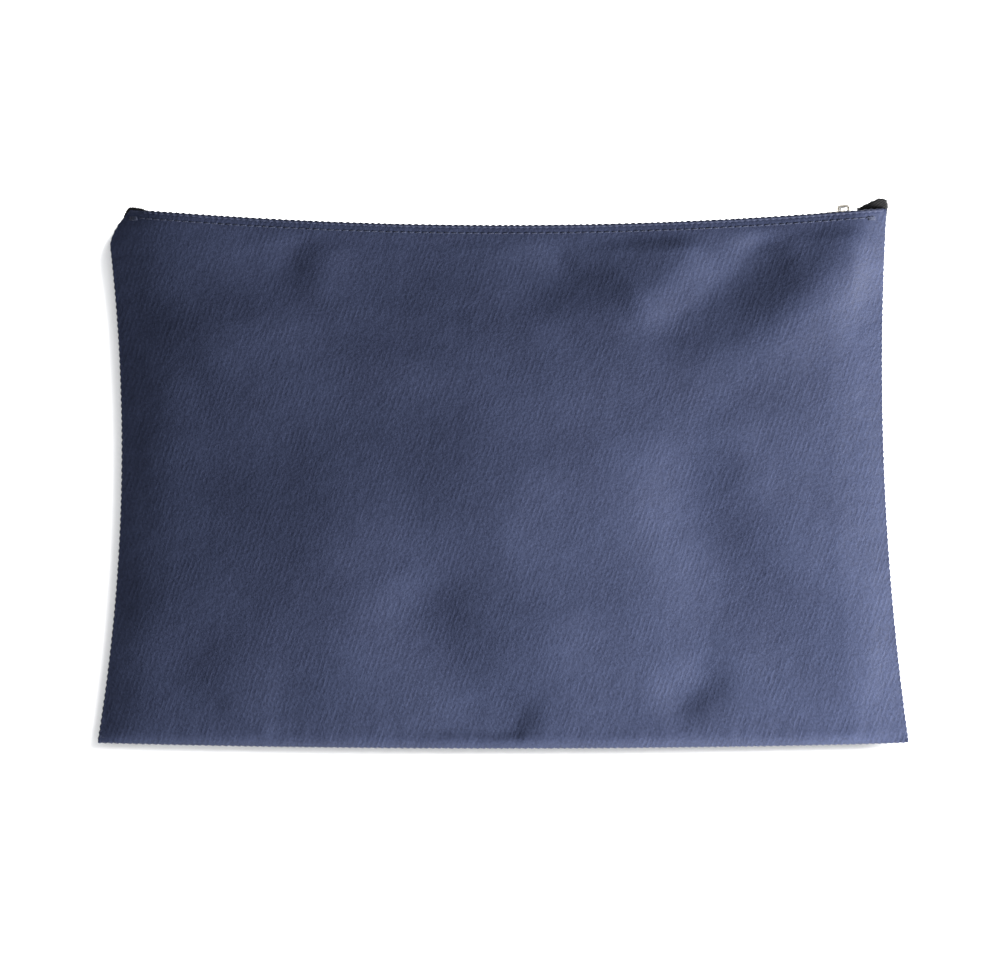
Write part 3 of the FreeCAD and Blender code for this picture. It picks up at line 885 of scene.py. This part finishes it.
def dress_cad_nodes():
    """The CAD pieces that stay in view get their materials."""
    looks = {"cloth": CLOTH_LOOK, "zip_tape": TAPE_LOOK, "zip_coil": NYLON_LOOK, "zip_stop": NYLON_LOOK,
             "nickel": NICKEL_LOOK, "spring_steel": SPRING_LOOK, "thread": THREAD_LOOK,
             "coil_thread": COIL_THREAD_LOOK}
    slots = {part["node"]: part["material_slot"] for part in frame["record"]["subparts"]}
    for name, node in frame["nodes"].items():
        look = looks[slots[name]]
        if not node.material_slots:
            node.data.materials.append(look)
        for material_slot in node.material_slots:
            material_slot.material = look


# ---------------------------------------------------------------- studio

FLOOR_HALF, FLOOR_Z = 4.0, -0.0003
WORLD_COLOUR, WORLD_STRENGTH = (0.95, 0.97, 1.0, 1), 0.36


def floor():
    mesh = bpy.data.meshes.new("floor")
    h = FLOOR_HALF
    mesh.from_pydata([(-h, -h, 0), (h, -h, 0), (h, h, 0), (-h, h, 0)], [], [(0, 1, 2, 3)])
    sheet = bpy.data.objects.new("floor", mesh)
    bpy.context.scene.collection.objects.link(sheet)
    sheet.location.z = FLOOR_Z
    m = Nodes("floor_paper")
    m.link(m.ramp(m.noise(m.position(), 60.0), [(0.3, (0.86, 0.86, 0.86)), (0.7, (0.88, 0.88, 0.88))]),
           m.shader.inputs["Base Color"])
    m.set(Roughness=0.9, Specular_IOR_Level=0.1)
    mesh.materials.append(m.material)
    return sheet


def from_middle(azimuth, elevation, reach):
    """A place in metres at an azimuth and elevation in degrees from the origin."""
    turn, high = math.radians(azimuth), math.radians(elevation)
    level = reach * math.cos(high)
    return level * math.cos(turn), level * math.sin(turn), reach * math.sin(high)


def area_light(name, place, size, power, colour):
    """A rectangular lamp that faces the origin."""
    data = bpy.data.lights.new(name, "AREA")
    data.shape = "RECTANGLE"
    data.size, data.size_y = size
    data.energy = power
    data.color = colour
    light = bpy.data.objects.new(name, data)
    light.location = place
    light.rotation_euler = (Vector() - Vector(place)).to_track_quat("-Z", "Y").to_euler()
    bpy.context.scene.collection.objects.link(light)
    return light


def lamps(paper):
    key = area_light("key", from_middle(-18, 20, 0.90), (0.42, 0.30), 52, (1.0, 0.985, 0.96))
    low = area_light("low", from_middle(-62, 9, 0.62), (0.30, 0.12), 5.0, (1.0, 0.99, 0.97))
    area_light("top", (0, 0, 1.6), (1.6, 1.6), 8, (0.97, 0.985, 1.0))
    fill = area_light("floor_fill", (0, 0, 1.5), (1.6, 1.6), 14, (1.0, 1.0, 1.0))
    wash = area_light("floor_wash", from_middle(38, 34, 1.6), (1.2, 1.2), 170, (1.0, 1.0, 1.0))
    # the key and the low lamp light the bag alone; the fill and the wash light the paper alone
    for light, state in ((key, "EXCLUDE"), (low, "EXCLUDE"), (fill, "INCLUDE"), (wash, "INCLUDE")):
        receivers = bpy.data.collections.new(light.name + "_receivers")
        receivers.objects.link(paper)
        receivers.collection_objects[0].light_linking.link_state = state
        light.light_linking.receiver_collection = receivers


def studio():
    lamps(floor())
    world = bpy.data.worlds.new("studio")
    world.use_nodes = True
    background = world.node_tree.nodes["Background"]
    background.inputs["Color"].default_value = WORLD_COLOUR
    background.inputs["Strength"].default_value = WORLD_STRENGTH
    scene = bpy.context.scene
    scene.world = world
    scene.view_settings.view_transform = "Standard"
    scene.view_settings.look = "None"


FRAME_WIDTH = 0.4133           # width of the picture in the plane of the bag's middle
CAMERA_AIM = (-0.00104, -0.00186, 0.008)
CAMERA_HEIGHT = 1.6


def camera():
    data = bpy.data.cameras.new("camera")
    data.sensor_fit = "HORIZONTAL"
    data.angle = 2 * math.atan(FRAME_WIDTH / 2 / CAMERA_HEIGHT)
    obj = bpy.data.objects.new("camera", data)
    obj.location = (CAMERA_AIM[0], CAMERA_AIM[1], CAMERA_AIM[2] + CAMERA_HEIGHT)
    bpy.context.scene.collection.objects.link(obj)
    bpy.context.scene.camera = obj


camera()
studio()
dress_cad_nodes()
panels = front_panel()
panels["back_cloth"] = back_panel()
seam_rolls()
hem_rolls()
topstitching()
back_tacks()
zip_run()
end_tabs()
slider_parts()
